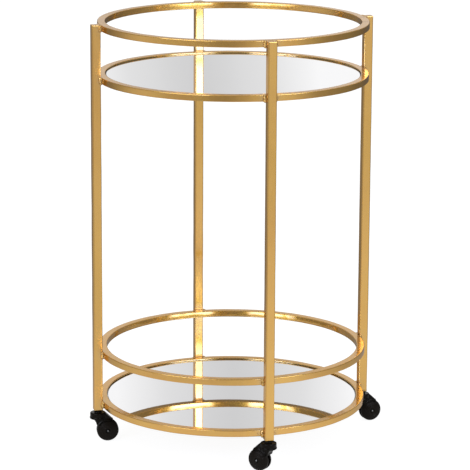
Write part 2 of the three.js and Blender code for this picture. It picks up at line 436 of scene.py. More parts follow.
def mirror_material():
    m, nt, bsdf = new_material("mirror_silver")
    co = object_coords(nt)
    smudge = noise_tex(nt, co, 9, 5, 0.6, 0.6)
    dust = noise_tex(nt, co, 900, 2, 0.5)
    bsdf.inputs["Metallic"].default_value = 1.0
    nt.links.new(mix_color(nt, map_range(nt, smudge, 0.4, 0.8, 0, 0.5, True), (0.905, 0.902, 0.912), (0.885, 0.882, 0.892)), bsdf.inputs["Base Color"])
    r = math_node(nt, "ADD", map_range(nt, smudge, 0.45, 0.8, 0.012, 0.035, True), map_range(nt, dust, 0.66, 0.8, 0.0, 0.02, True))
    nt.links.new(r, bsdf.inputs["Roughness"])
    return m


def glass_edge_material():
    m, nt, bsdf = new_material("glass_edge")
    co = object_coords(nt)
    n = noise_tex(nt, co, 400, 3, 0.5)
    nt.links.new(mix_color(nt, n, (0.10, 0.16, 0.14), (0.16, 0.23, 0.20)), bsdf.inputs["Base Color"])
    nt.links.new(map_range(nt, n, 0.3, 0.7, 0.12, 0.30), bsdf.inputs["Roughness"])
    bsdf.inputs["Specular IOR Level"].default_value = 0.6
    return m


def mirror_back_material():
    m, nt, bsdf = new_material("mirror_back_paint")
    co = object_coords(nt)
    n = noise_tex(nt, co, 300, 3, 0.5)
    nt.links.new(mix_color(nt, n, (0.16, 0.17, 0.18), (0.20, 0.21, 0.22)), bsdf.inputs["Base Color"])
    nt.links.new(map_range(nt, n, 0.3, 0.7, 0.45, 0.6), bsdf.inputs["Roughness"])
    return m


def board_material():
    """Dark tempered hardboard with its pressed-screen underside."""
    m, nt, bsdf = new_material("hardboard")
    co = object_coords(nt)
    fibre = noise_tex(nt, object_coords(nt, (1, 0.18, 1)), 520, 5, 0.65, 0.8)
    blotch = noise_tex(nt, co, 35, 3, 0.5)
    c = mix_color(nt, fibre, (0.060, 0.040, 0.026), (0.135, 0.092, 0.058))
    c = mix_color(nt, map_range(nt, blotch, 0.35, 0.7, 0, 0.6, True), c, (0.072, 0.052, 0.038))
    nt.links.new(c, bsdf.inputs["Base Color"])
    nt.links.new(map_range(nt, fibre, 0.3, 0.7, 0.55, 0.8), bsdf.inputs["Roughness"])
    wx, wy = (nt.nodes.new("ShaderNodeTexWave") for _ in range(2))
    for w, d in ((wx, "X"), (wy, "Y")):
        w.wave_type, w.bands_direction = "BANDS", d
        w.inputs["Scale"].default_value = 150
        w.inputs["Distortion"].default_value = 0.4
        w.inputs["Detail"].default_value = 1
        nt.links.new(co, w.inputs["Vector"])
    screen = math_node(nt, "MULTIPLY", wx.outputs["Fac"], wy.outputs["Fac"])
    n1 = bump(nt, screen, 0.5, 0.0003)
    nt.links.new(bump(nt, fibre, 0.4, 0.0002, n1), bsdf.inputs["Normal"])
    return m


def plastic_material(name, base, spec, rough, scuff=0.0):
    """Moulded black nylon: fine spark texture, faint flow marks, and scuffs where it rolls."""
    m, nt, bsdf = new_material(name)
    co = object_coords(nt)
    grain = noise_tex(nt, co, 2600, 2, 0.6)
    flow = noise_tex(nt, co, 120, 4, 0.6, 0.5)
    c = mix_color(nt, map_range(nt, flow, 0.4, 0.75, 0, 1, True), base, tuple(x * 1.55 for x in base))
    if scuff:
        marks = noise_tex(nt, object_coords(nt, (1, 1, 1)), 700, 4, 0.7, 1.5)
        c = mix_color(nt, map_range(nt, marks, 0.60, 0.74, 0, scuff, True), c, (0.020, 0.018, 0.017))
    nt.links.new(c, bsdf.inputs["Base Color"])
    nt.links.new(map_range(nt, flow, 0.3, 0.75, rough - 0.05, rough + 0.09), bsdf.inputs["Roughness"])
    bsdf.inputs["IOR"].default_value = spec
    bsdf.inputs["Specular Tint"].default_value = (1.0, 0.89, 0.78, 1)
    n1 = bump(nt, grain, 0.25, 0.00003)
    nt.links.new(bump(nt, flow, 0.15, 0.0002, n1), bsdf.inputs["Normal"])
    return m


def steel_material(name, dull, bright, rough=0.22):
    """Turned steel with fine lathe lines and a blotchy plated finish."""
    m, nt, bsdf = new_material(name)
    lines = noise_tex(nt, object_coords(nt, (1, 1, 9)), 900, 2, 0.6)
    blot = noise_tex(nt, object_coords(nt), 200, 3, 0.5)
    nt.links.new(mix_color(nt, blot, dull, bright), bsdf.inputs["Base Color"])
    bsdf.inputs["Metallic"].default_value = 1.0
    nt.links.new(map_range(nt, lines, 0.3, 0.7, rough, rough + 0.18), bsdf.inputs["Roughness"])
    nt.links.new(bump(nt, lines, 0.25, 0.0001), bsdf.inputs["Normal"])
    return m


MAT_RING = gold_material("gold_lacquer_ring")
MAT_POST = gold_material("gold_lacquer_post", (1, 1, 0.25))
MAT_WELD = gold_material("gold_lacquer_weld", (1, 1, 1), 0.00009, 0.35)
MAT_MIRROR = mirror_material()
MAT_EDGE = glass_edge_material()
MAT_BACK = mirror_back_material()
MAT_BOARD = board_material()
MAT_HOOD = plastic_material("hood_nylon", (0.0018, 0.0015, 0.0013), 1.22, 0.17)
MAT_WHEEL = plastic_material("wheel_nylon", (0.0042, 0.0031, 0.0025), 1.25, 0.31, 0.22)
MAT_PLUG = plastic_material("plug_nylon", (0.010, 0.010, 0.010), 1.4, 0.40)
MAT_STEEL = steel_material("zinc_steel", (0.15, 0.147, 0.143), (0.24, 0.236, 0.23), 0.16)
MAT_BLACK_STEEL = steel_material("blackened_steel", (0.010, 0.0095, 0.0095), (0.022, 0.021, 0.020), 0.30)


def finish_piece(o, material, body, replaces=()):
    o.data.materials.append(material)
    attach(o, body)
    if replaces:
        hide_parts(*replaces)
    return o


# ---------------------------------------------------------------------- rings
def make_ring(name, seed):
    z0, z1 = RING_Z[name]
    h = z1 - z0
    prof, nrm = rounded_rect(TUBE_W, h, 1.25, 5, (4, 4))
    rm, zm = R_OUT - TUBE_W / 2, (z0 + z1) / 2
    n = 384
    a = np.arange(n) * 2 * math.pi / n
    # a rolled tube's inner wall draws in a little between its corners
    draw = np.where(nrm[:, 0] < -0.99, -0.12 * (1 - (prof[:, 1] / (h / 2 - 1.25)) ** 2), 0.0)
    ca, sa = np.cos(a)[:, None], np.sin(a)[:, None]
    rr = rm + prof[None, :, 0] + 0 * ca
    zz = zm + prof[None, :, 1] + 0 * ca
    base = np.stack([rr * ca, rr * sa, zz], 2).reshape(-1, 3)
    normal = np.stack([nrm[None, :, 0] * ca, nrm[None, :, 0] * sa, nrm[None, :, 1] + 0 * ca], 2).reshape(-1, 3)
    d = 0.045 * waves(seed, 46)(base) + 0.018 * waves(seed + 1, 13)(base) - 0.09
    d += np.tile(draw, n)
    # the butt weld where the rolled tube closes, ground nearly flush
    seam = math.radians(150.0 + 7 * seed)
    off = np.abs((np.repeat(a, len(prof)) - seam + math.pi) % (2 * math.pi) - math.pi) * R_OUT
    d += 0.11 * np.exp(-((off / 1.9) ** 2))
    v = base + normal * np.minimum(d, -0.005)[:, None]
    faces = grid_faces(n, len(prof))
    o = mesh_object(name.replace("_ring", "_tube"), v, faces)
    return finish_piece(o, MAT_RING, "frame", [name])


for i, ring in enumerate(RINGS):
    make_ring(ring, 11 * i + 3)


# -------------------------------------------------------------------- uprights
def make_post(w, seed):
    z0, z1 = POST_Z
    prof, nrm = rounded_rect(POST_W, POST_W, 1.7, 6, (3, 3))
    inner, _ = rounded_rect(POST_W - 2.4, POST_W - 2.4, 0.9, 6, (3, 3))
    m = len(prof)
    rows, dn = [], []
    # inside of the open foot, the foot's rim, the shaft, and the closed top
    rows.append((inner * 0.02, z0 + 9))
    rows.append((inner, z0 + 9))
    rows.append((inner, z0 + 0.4))
    rows.append((inner + (prof - inner) * 0.06, z0 + 0.1))
    rows.append((inner + (prof - inner) * 0.18, z0))
    for k in range(6):
        t = math.radians(90 * k / 5)
        rows.append((prof - nrm * 0.95 * (1 - math.sin(t)), z0 + 1.25 * (1 - math.cos(t))))
    shaft = list(np.linspace(z0 + 1.7, z1 - 1.6, 110))
    for z in shaft:
        rows.append((prof, z))
    r = 1.0
    for k in range(1, 6):
        t = math.radians(90 * k / 5)
        rows.append((prof - nrm * r * (1 - math.cos(t)), z1 - 0.12 - r + r * math.sin(t)))
    for s, dz in ((0.80, -0.10), (0.72, -0.22), (0.66, -0.20), (0.45, -0.14), (0.2, -0.1), (0.02, -0.1)):
        rows.append(((prof - nrm * r) * s, z1 + dz))
    v = np.concatenate([np.column_stack([p, np.full(m, z)]) for p, z in rows])
    k0 = 11
    wav1, wav2 = waves(seed, 60), waves(seed + 1, 17)
    nn = np.tile(np.column_stack([nrm, np.zeros(m)]), (len(rows), 1))
    amp = np.zeros(len(v))
    amp[k0 * m : (k0 + len(shaft)) * m] = 1
    seeded = v + np.array([0, 0, 40.0 * seed])
    d = amp * (0.05 * wav1(seeded) + 0.018 * wav2(seeded) - 0.08)
    v = v + nn * np.minimum(d, 0)[:, None]
    faces = grid_faces(len(rows), m, close_ring=False, flip=False)
    faces = [f[::-1] for f in faces]
    faces.append(tuple(range(m))[::-1])
    faces.append(tuple(range((len(rows) - 1) * m, len(rows) * m)))
    v = place(v, (STEM[w].x, STEM[w].y), math.radians(POST_ANGLE[w]))
    o = mesh_object(f"upright_{w}", v, faces)
    return finish_piece(o, MAT_POST, "frame", [f"post_{w}", f"post_cap_{w}"])


for i, w in enumerate(WHERE):
    make_post(w, 5 * i + 2)


# ------------------------------------------------------------------ weld beads
def blob_chain(centres, radii, seed, squash=1.0):
    """A lumpy bead along a line of centres: a closed tube whose ends round off."""
    centres = np.asarray(centres, float)
    n, m = len(centres), 18
    t = np.gradient(centres, axis=0)
    t /= np.linalg.norm(t, axis=1)[:, None]
    up = np.array([0.31, 0.55, 0.77])
    u = np.cross(t, up)
    u /= np.linalg.norm(u, axis=1)[:, None]
    w = np.cross(t, u)
    a = np.arange(m) * 2 * math.pi / m
    rad = np.asarray(radii)[:, None]
    v = centres[:, None] + rad[..., None] * (np.cos(a)[None, :, None] * u[:, None] + np.sin(a)[None, :, None] * w[:, None])
    v = v.reshape(-1, 3)
    out = v - np.repeat(centres, m, axis=0)
    ln = np.maximum(np.linalg.norm(out, axis=1), 1e-6)[:, None]
    v = v + out / ln * (0.22 * waves(seed, 3.6)(v) + 0.10 * waves(seed + 9, 1.5)(v))[:, None] * np.minimum(ln, 1)
    faces = grid_faces(n, m, close_ring=False)
    faces.append(tuple(range(m)))
    faces.append(tuple(range((n - 1) * m, n * m))[::-1])
    return v, [f[::-1] for f in faces]


def ball(centre, r, seed):
    prof = [(0, -r)] + [(r * math.sin(t), -r * math.cos(t)) for t in np.linspace(0, math.pi, 9)[1:-1]] + [(0, r)]
    v, f = lathe(prof, 14)
    v = v * (1 + 0.08 * waves(seed, r * 2)(v + seed)[:, None])
    return v + np.array(centre), f


def joined(name, parts, material, body, replaces=()):
    vs, fs, k = [], [], 0
    for v, f in parts:
        vs.append(v)
        fs += [tuple(i + k for i in face) for face in f]
        k += len(v)
    o = mesh_object(name, np.concatenate(vs), fs)
    return finish_piece(o, material, body, replaces)


def weld_bead(x0, y0, z0, z1, side, rng):
    """A stacked fillet bead up the corner between a ring's face and an upright's side."""
    n = int(rng.integers(5, 7))
    zs = np.linspace(z0 + 1.0, z1 - 1.2, n) + rng.uniform(-0.35, 0.35, n)
    rs = rng.uniform(2.1, 3.0, n)
    ox, oy = rng.uniform(-0.25, 0.35, n), rng.uniform(-0.2, 0.45, n)
    ripple = waves(int(rng.integers(1e6)), 1.7, 14)

    def field(x, y, z):
        d = np.full(x.shape, 1e9)
        for k in range(n):
            c = np.sqrt((x - x0 - 0.9 - ox[k]) ** 2 + (y - side * (y0 + 0.55 + oy[k])) ** 2 + ((z - zs[k]) * 1.25) ** 2) - rs[k]
            d = smin(d, c, 0.35)
        d = d + 0.10 * ripple(np.stack([x, y, z], -1).reshape(-1, 3)).reshape(x.shape)
        return smax(d, z - min(z1 + 0.45, POST_Z[1] - 0.06), 0.3)

    ya, yb = sorted((side * (y0 - 2.8), side * (y0 + 4.6)))
    return surface(field, (x0 - 3.4, ya, z0 - 2.6), (x0 + 4.8, yb, z1 + 1.6), 0.36)


def make_welds(ring, seed):
    z0, z1 = RING_Z[ring]
    parts = []
    rng = np.random.default_rng(seed)
    x0 = R_OUT - POST_R  # the ring's face, in the upright's frame
    for w in WHERE:
        ang = math.radians(POST_ANGLE[w])
        for side in (1, -1):
            v, f = weld_bead(x0, POST_W / 2, z0, z1, side, rng)
            parts.append((place(v, (STEM[w].x, STEM[w].y), ang), f))
            for _ in range(int(rng.integers(1, 4))):
                b = ball((x0 + rng.uniform(0.0, 0.3), side * (POST_W / 2 + rng.uniform(4.0, 8.0)), rng.uniform(z0 + 1.2, z1 - 1.2)), rng.uniform(0.28, 0.5), int(rng.integers(1e6)))
                parts.append((place(b[0], (STEM[w].x, STEM[w].y), ang), b[1]))
    return joined(ring.replace("_ring", "_welds"), parts, MAT_WELD, "frame")


for i, ring in enumerate(RINGS):
    make_welds(ring, 71 + i)


# --------------------------------------------------------------------- shelves
def disc_piece(name, nodename, bevel, mats):
    lo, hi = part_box(nodename)
    r = hi.x / MM
    z0, z1 = lo.z / MM, hi.z / MM
    n = 256
    prof = [(0, z0), (r * 0.5, z0), (r - 3, z0), (r - bevel, z0), (r - bevel * 0.3, z0 + bevel * 0.3), (r, z0 + bevel)]
    prof += [(r, z1 - bevel), (r - bevel * 0.3, z1 - bevel * 0.3), (r - bevel, z1), (r - 3, z1), (r * 0.5, z1), (0, z1)]
    v, f = lathe(prof, n)
    o = mesh_object(name, v, f)
    for m in mats:
        o.data.materials.append(m)
    if len(mats) > 1:
        for p in o.data.polygons:
            c = p.center
            rad = math.hypot(c.x, c.y) / MM
            top = c.z / MM > z1 - 0.01
            p.material_index = 0 if (rad < r - bevel and top) else (2 if rad < r - bevel else 1)
            if rad < r - bevel:
                p.use_smooth = False
    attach(o, "frame")
    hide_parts(nodename)
    return o


for level in ("upper", "lower"):
    disc_piece(f"{level}_glass", f"{level}_mirror", 0.45, [MAT_MIRROR, MAT_EDGE, MAT_BACK])
    disc_piece(f"{level}_board", f"{level}_mirror_board", 0.35, [MAT_BOARD])


def make_tab(level, k):
    node_name = f"{level}_shelf_tab_{k}"
    lo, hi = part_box(node_name)
    z0, z1 = lo.z / MM, hi.z / MM
    angle = math.radians([0, 90, 180, 270][k - 1])
    x1 = R_OUT - 12.9
    x0 = x1 - 18
    hw = 12.0
    outline = []
    for cx, cy, a0 in ((x0 + 4, hw - 4, 90), (x0 + 4, -hw + 4, 180)):
        for q in range(9):
            a = math.radians(a0 + 90 * q / 8)
            outline.append((cx + 4 * math.cos(a), cy + 4 * math.sin(a)))
    outline += [(x1, -hw), (x1, -hw * 0.33), (x1, hw * 0.33), (x1, hw)]
    outline = np.array(outline)
    mid = outline.mean(0)
    rows = []
    for inset, z in ((0.35, z0), (0.1, z0 + 0.1), (0, z0 + 0.35), (0, z1 - 0.35), (0.1, z1 - 0.1), (0.35, z1)):
        d = outline - mid
        s = 1 - inset / np.maximum(np.linalg.norm(d, axis=1), 1)
        rows.append(np.column_stack([mid + d * s[:, None], np.full(len(outline), z)]))
    m = len(outline)
    v = np.concatenate(rows)
    faces = [f for f in grid_faces(len(rows), m, close_ring=False, flip=True)]
    faces.append(tuple(range(m))[::-1])
    faces.append(tuple(range((len(rows) - 1) * m, len(rows) * m)))
    parts = [(place(v, (0, 0), angle), faces)]
    rng = np.random.default_rng(500 + 10 * k + (level == "upper"))
    s = np.linspace(0, 1, 17)
    r = np.maximum(1.15 * (1 - np.abs(2 * s - 1) ** 5) ** 0.5 * (1 + 0.1 * np.sin(s * 26)), 0.08)
    c = np.stack([np.full(17, x1 + 0.2), -8 + 16 * s, np.full(17, z0 + 0.4)], 1)
    bv, bf = blob_chain(c, r, int(rng.integers(1e6)))
    bv[:, 2] = np.maximum(bv[:, 2], z0 - 0.5)
    parts.append((place(bv, (0, 0), angle), bf))
    return joined(f"{level}_tab_{k}", parts, MAT_WELD, "frame", [node_name])


for level in ("upper", "lower"):
    for k in (1, 2, 3, 4):
        make_tab(level, k)

# --------------------------------------------------------------------- casters
TRAIL = (AXLE["front_left"] - STEM["front_left"]).xy.length
AX_Z = AXLE["front_left"].z
NECK_TOP = 46.3


def hood_field(x, y, z):
    """The hood in the caster's own frame: stem at x = y = 0, wheels trailing along +X."""
    rho = np.hypot(x, y)
    ay = np.abs(y)
    # swivel boss: a low disc over a slightly wider flange, and the neck on top
    boss = box2(rho - 11.95, np.abs(z - 40.4) - 4.1, 1.9)
    flange = box2(rho - 12.45, np.abs(z - 36.25) - 1.8, 1.5)
    d = smin(boss, flange, 0.3)
    neck = box2(rho - 5.8, np.abs(z - 42.2) - 4.1, 0.4)
    d = smin(d, neck, 0.9)
    # fender over the front and the top of the wheels
    ux, uz = x - TRAIL, z - AX_Z
    rr = np.hypot(ux, uz)
    al = np.degrees(np.arctan2(uz, ux))
    arc = np.abs(((al - 106.5 + 180) % 360) - 180) - 43.5
    drop = 0.20 * np.maximum(ay - 3.5, 0) ** 1.35  # its edges turn down with the wheels' domes
    half = 1.15 - 0.45 * np.clip((92 - al) / 28, 0, 1)  # it thins towards its tail
    shell = box2(np.abs(rr + drop - 17.2 - half) - half, np.maximum(np.radians(arc) * 18.3, ay - 9.2), 0.65)
    # shoulder from the boss down to the fender's end
    side = [(1, 43.0), (1, 34), (6, 33.2), (14.5, 34.0), (18.2, 33.5), (19.7, 34.2), (19.2, 35.4), (15.3, 39.2), (11.7, 42.4), (9, 43.6)]
    sh2 = polygon2(x, z, side)
    shoulder = box2(sh2, ay - (8.8 - 0.07 * np.maximum(x, 0)), 1.5)
    body = smin(shell, shoulder, 2.0)
    # swan neck: the front face falls back from the flange to the fender's edge
    neck2 = polygon2(x, z, [(-7.6, 35.6), (5, 36.2), (7.5, 31), (3.0, 28.2), (0.4, 25.9), (-1.6, 25.3), (-2.5, 26.2), (-3.6, 29.8), (-5.4, 32.6)])
    skirt = box2(neck2, ay - 7.9, 1.3)
    body = smin(body, skirt, 1.8)
    d = smin(d, body, 1.1)
    # room for the wheels, whose domes leave more of the hood at the sides
    dome = 17.25 - 0.13 * np.maximum(ay - 3.5, 0) ** 1.5
    cut = np.maximum(rr - dome, 2.35 - ay)
    d = smax(d, -cut, 0.3)
    # centre web that carries the axle, and the bore for the stem
    web = box2(rr - 11.6, ay - 1.9, 0.5)
    rib = box2(np.abs(ux + 4.5) - 5.2, np.maximum(np.abs(uz - 10.5) - 7.0, ay - 1.9), 0.4)
    d = smin(d, smin(web, rib, 1.0), 0.5)
    d = smax(d, -np.maximum(rho - 3.75, 36.3 - z), 0.25)
    return d


HV, HF = surface(hood_field, (-14.1, -14.1, 3.7), (27.4, 14.2, 47.9), 0.44)


def wheel_profile():
    """One wheel about its own axis: z is across the caster, outwards from the web."""
    y_in, y_out, r, r0 = 2.5, 10.2, 16.5, 4.6
    y0 = y_in + 1.4
    p = [(2.2, y_in + 0.7), (4.0, y_in + 0.7), (4.4, y_in), (6.6, y_in), (7.0, y_in + 0.5), (13.4, y_in + 0.5), (13.8, y_in), (r - 0.55, y_in)]
    p += [(r - 0.16, y_in + 0.12), (r, y_in + 0.5), (r, y0)]
    n = 86
    for k in range(1, n + 1):
        t = 0.5 * math.pi * k / n
        rr, yy = r0 + (r - r0) * math.cos(t), y0 + (y_out - y0) * math.sin(t)
        # concentric grooves on the domed side
        ln = math.hypot((r - r0) * math.sin(t), (y_out - y0) * math.cos(t))
        nx, ny = (y_out - y0) * math.cos(t) / ln, (r - r0) * math.sin(t) / ln
        g = 0.0
        for rc, w, dep in ((15.3, 0.36, 0.40), (13.2, 0.36, 0.42), (11.1, 0.36, 0.42), (9.0, 0.36, 0.40), (6.9, 0.34, 0.34)):
            g = max(g, dep * math.exp(-(((rr - rc) / w) ** 2) ** 1.5))
        p.append((rr - nx * g, yy - ny * g))
    p += [(4.35, y_out + 0.02), (3.75, y_out), (3.5, y_out - 0.1), (3.35, y_out - 0.6), (2.2, y_out - 0.6)]
    return p


WV, WF = lathe(wheel_profile(), 112)
# profile given from the inner face outwards, counter-clockwise seen with r to the right
AV, AF = None, None


def axle_parts():
    head = [(0, -11.15), (0.5, -11.12), (0.95, -11.0), (1.3, -10.8), (1.5, -10.5), (1.52, -10.3), (2.4, -10.22), (2.62, -10.05), (2.66, -9.85), (2.5, -9.62), (2.0, -9.6)]
    p = head + [(2.0, 0.0)] + [(r, -z) for r, z in head[::-1]]
    return lathe(p, 40)


AV, AF = axle_parts()


def stem_parts():
    z = POST_Z[0]
    p = [(0, 36.6), (2.9, 36.6), (3.4, 37.2), (3.4, NECK_TOP + 0.3)]
    p += [(5.3, NECK_TOP + 0.32), (5.52, NECK_TOP + 0.5), (5.56, NECK_TOP + 0.85), (5.5, z - 0.5), (5.25, z - 0.32)]
    p += [(3.4, z - 0.3), (3.4, 62.6), (2.6, 63.8), (0, 63.8)]
    return lathe(p, 64)


SV, SF = stem_parts()


def across(v, sign=1):
    """Turns a piece made about +Z so that its axis runs across the caster, along y."""
    v = np.asarray(v, float)
    return np.stack([v[:, 0], sign * v[:, 2], -sign * v[:, 1]], 1)


def plug_parts():
    prof, nrm = rounded_rect(10.4, 10.4, 0.9, 4, (2, 2))
    m = len(prof)
    circ = np.array([(4.1 * math.cos(math.atan2(q[1], q[0])), 4.1 * math.sin(math.atan2(q[1], q[0]))) for q in prof])
    z0 = POST_Z[0]
    rows = [(circ, z0 + 19.9), (circ, z0 + 0.45), (circ * 1.06, z0 + 0.2), (prof - nrm * 0.35, z0 + 0.15), (prof - nrm * 0.08, z0 + 0.3), (prof, z0 + 0.6), (prof, z0 + 19.6), (prof - nrm * 0.3, z0 + 19.9)]
    v = np.concatenate([np.column_stack([p, np.full(m, z)]) for p, z in rows])
    return v, [f[::-1] for f in grid_faces(len(rows), m, close_ring=True, flip=False)]


PV, PF = plug_parts()

for w in WHERE:
    t = trail_angle(w)
    at = (STEM[w].x, STEM[w].y)
    swivel = f"caster_{w}_swivel"
    o = mesh_object(f"hood_{w}", place(HV, at, t), HF)
    finish_piece(o, MAT_HOOD, swivel, [f"caster_hood_{w}"])
    v = across(AV) + np.array([TRAIL, 0, AX_Z])
    o = mesh_object(f"axle_{w}", place(v, at, t), AF)
    finish_piece(o, MAT_STEEL, swivel, [f"caster_axle_{w}"])
    o.data.materials.append(MAT_BLACK_STEEL)
    for poly in o.data.polygons:  # only the turned pips at the ends are bright
        c = place([poly.center / MM], (0, 0), -t)[0] - place([(at[0], at[1], 0)], (0, 0), -t)[0]
        poly.material_index = 0 if math.hypot(c[0] - TRAIL, c[2] - AX_Z) < 1.51 else 1
    for side, sign in (("left", 1), ("right", -1)):
        v = across(WV, sign) + np.array([TRAIL, 0, AX_Z])
        o = mesh_object(f"wheel_{side}_{w}", place(v, at, t), WF)
        finish_piece(o, MAT_WHEEL, f"caster_{w}_wheel_{side}", [f"caster_wheel_{side}_{w}"])
    o = mesh_object(f"stem_{w}", place(SV, at, 0), SF)
    finish_piece(o, MAT_BLACK_STEEL, "frame", [f"caster_stem_{w}"])
    o = mesh_object(f"plug_{w}", place(PV, at, math.radians(POST_ANGLE[w])), PF)
    finish_piece(o, MAT_PLUG, "frame", [f"stem_plug_{w}"])

for o in list(bpy.context.scene.objects):
    if o.type == "MESH" and "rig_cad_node" not in o:
        bm = bmesh.new()
        bm.from_mesh(o.data)
        bmesh.ops.recalc_face_normals(bm, faces=bm.faces)
        bm.to_mesh(o.data)
        bm.free()

# ------------------------------------------------------------------- the stage
VIEW_AZ = math.radians(29.9)
RIGHT = Vector((math.cos(VIEW_AZ), math.sin(VIEW_AZ), 0))
AHEAD = Vector((-math.sin(VIEW_AZ), math.cos(VIEW_AZ), 0))


def polar(nt, vector):
    """Azimuth from the front (towards the photographer) in degrees, and the rotated x, y, z."""
    rot = nt.nodes.new("ShaderNodeVectorRotate")
    rot.rotation_type = "Z_AXIS"
    rot.inputs["Angle"].default_value = -VIEW_AZ
    nt.links.new(vector, rot.inputs["Vector"])
    sep = nt.nodes.new("ShaderNodeSeparateXYZ")
    nt.links.new(rot.outputs["Vector"], sep.inputs[0])
    x, y, z = sep.outputs
    az = math_node(nt, "MULTIPLY", math_node(nt, "ARCTAN2", x, math_node(nt, "MULTIPLY", y, -1.0)), 180 / math.pi)
    return az, x, y, z


def ramp(nt, value, stops):
    """A grey colour ramp through (position, value) stops."""
    n = nt.nodes.new("ShaderNodeValToRGB")
    n.color_ramp.interpolation = "CARDINAL"
    el = n.color_ramp.elements
    while len(el) > 1:
        el.remove(el[0])
    for i, (p, v) in enumerate(stops):
        e = el[0] if i == 0 else el.new(p)
        e.position = p
        e.color = (v, v, v, 1)
    nt.links.new(value, n.inputs["Fac"])
    return n.outputs["Color"]


def floor_material():
    """White paper sweep, lit from below the paper as well, so that shadows stay pale."""
    m, nt, bsdf = new_material("studio_floor")
    n = noise_tex(nt, object_coords(nt), 60, 3, 0.5)
    nt.links.new(mix_color(nt, n, (0.215, 0.215, 0.215), (0.225, 0.225, 0.225)), bsdf.inputs["Base Color"])
    bsdf.inputs["Roughness"].default_value = 0.9
    bsdf.inputs["Specular IOR Level"].default_value = 0.0
    bsdf.inputs["Emission Color"].default_value = (1, 1, 1, 1)
    bsdf.inputs["Emission Strength"].default_value = 0.93
    # clear from underneath, so that the underside can be looked at through it
    geo = nt.nodes.new("ShaderNodeNewGeometry")
    clear = nt.nodes.new("ShaderNodeBsdfTransparent")
    mix = nt.nodes.new("ShaderNodeMixShader")
    out = next(n for n in nt.nodes if n.type == "OUTPUT_MATERIAL")
    nt.links.new(geo.outputs["Backfacing"], mix.inputs["Fac"])
    nt.links.new(bsdf.outputs[0], mix.inputs[1])
    nt.links.new(clear.outputs[0], mix.inputs[2])
    nt.links.new(mix.outputs[0], out.inputs["Surface"])
    return m


# painted reflection: what polished metal sees in place of the studio's floor, as glow levels of a disc that only
# reflections see, near the cart and by direction further off; the low values behind the cart are painted shade
FLOOR_NEAR = [(-180, 0.32), (-150, 0.38), (-120, 0.54), (-90, 0.70), (-40, 0.88), (0, 0.82), (35, 0.94), (90, 0.70), (120, 0.54), (150, 0.38), (180, 0.32)]
FLOOR_FAR = [(-180, 0.15), (-165, 0.22), (-150, 0.30), (-135, 0.28), (-120, 0.32), (-100, 0.54), (-80, 0.72), (-60, 0.60), (-35, 0.50), (-15, 0.40), (0, 0.40), (18, 0.62), (36, 0.80), (52, 0.66), (72, 0.42), (95, 0.32), (120, 0.25), (140, 0.20), (160, 0.15), (180, 0.15)]


def painted_light_pool(nt, x, y, along, across, size_along, size_across, strength):
    """A soft painted pool of light in the glow, placed along and across a line 27 degrees to the right of the
    photographer's direction.
    """
    s, c = math.sin(math.radians(27)), math.cos(math.radians(27))
    u = math_node(nt, "SUBTRACT", math_node(nt, "MULTIPLY", x, s), math_node(nt, "MULTIPLY", y, c))
    v = math_node(nt, "ADD", math_node(nt, "MULTIPLY", x, c), math_node(nt, "MULTIPLY", y, s))
    total = None
    for w, at, size in ((u, along, size_along), (v, across, size_across)):
        d = math_node(nt, "SUBTRACT", w, at)
        q = math_node(nt, "MULTIPLY", math_node(nt, "MULTIPLY", d, d), -0.5 / (size * size))
        total = q if total is None else math_node(nt, "ADD", total, q)
    return math_node(nt, "MULTIPLY", math_node(nt, "EXPONENT", total), strength)


# painted reflection: the glowing disc that reflections see instead of the floor, with painted pools of light and a
# painted shadow under the cart
def painted_reflection_glow_material():
    m = bpy.data.materials.new("studio_floor_painted_reflection")
    m.use_nodes = True
    nt = m.node_tree
    nt.nodes.clear()
    out = nt.nodes.new("ShaderNodeOutputMaterial")
    em = nt.nodes.new("ShaderNodeEmission")
    nt.links.new(em.outputs[0], out.inputs["Surface"])
    tc = nt.nodes.new("ShaderNodeTexCoord")
    az, x, y, _ = polar(nt, tc.outputs["Object"])
    r = math_node(nt, "SQRT", math_node(nt, "ADD", math_node(nt, "MULTIPLY", x, x), math_node(nt, "MULTIPLY", y, y)))
    far = ramp(nt, map_range(nt, az, -180, 180, 0, 1), [((a + 180) / 360, v) for a, v in FLOOR_FAR])
    close = ramp(nt, map_range(nt, az, -180, 180, 0, 1), [((a + 180) / 360, v) for a, v in FLOOR_NEAR])
    near = map_range(nt, r, 0.36, 1.15, 1.0, 0.0, True)
    # painted light: two brighter pools and one darker patch painted into the glow, a little to the right of the cart's
    # front
    pool = painted_light_pool(nt, x, y, 1.17, 0.12, 0.32, 0.30, 0.15)
    pool = math_node(nt, "ADD", pool, painted_light_pool(nt, x, y, 1.80, -0.45, 0.55, 0.25, 0.26))
    pool = math_node(nt, "ADD", pool, painted_light_pool(nt, x, y, 2.45, 0.25, 0.42, 0.32, -0.18))
    # painted shadow: the glow dims to less than half right under the cart
    painted_shadow_under_cart = map_range(nt, r, 0.10, 0.30, 0.45, 1.0, True)
    e = math_node(nt, "ADD", math_node(nt, "MULTIPLY", far, math_node(nt, "SUBTRACT", 1.0, near)), math_node(nt, "MULTIPLY", near, close))
    e = math_node(nt, "ADD", e, pool)
    nt.links.new(math_node(nt, "MULTIPLY", e, painted_shadow_under_cart), em.inputs["Strength"])
    return m


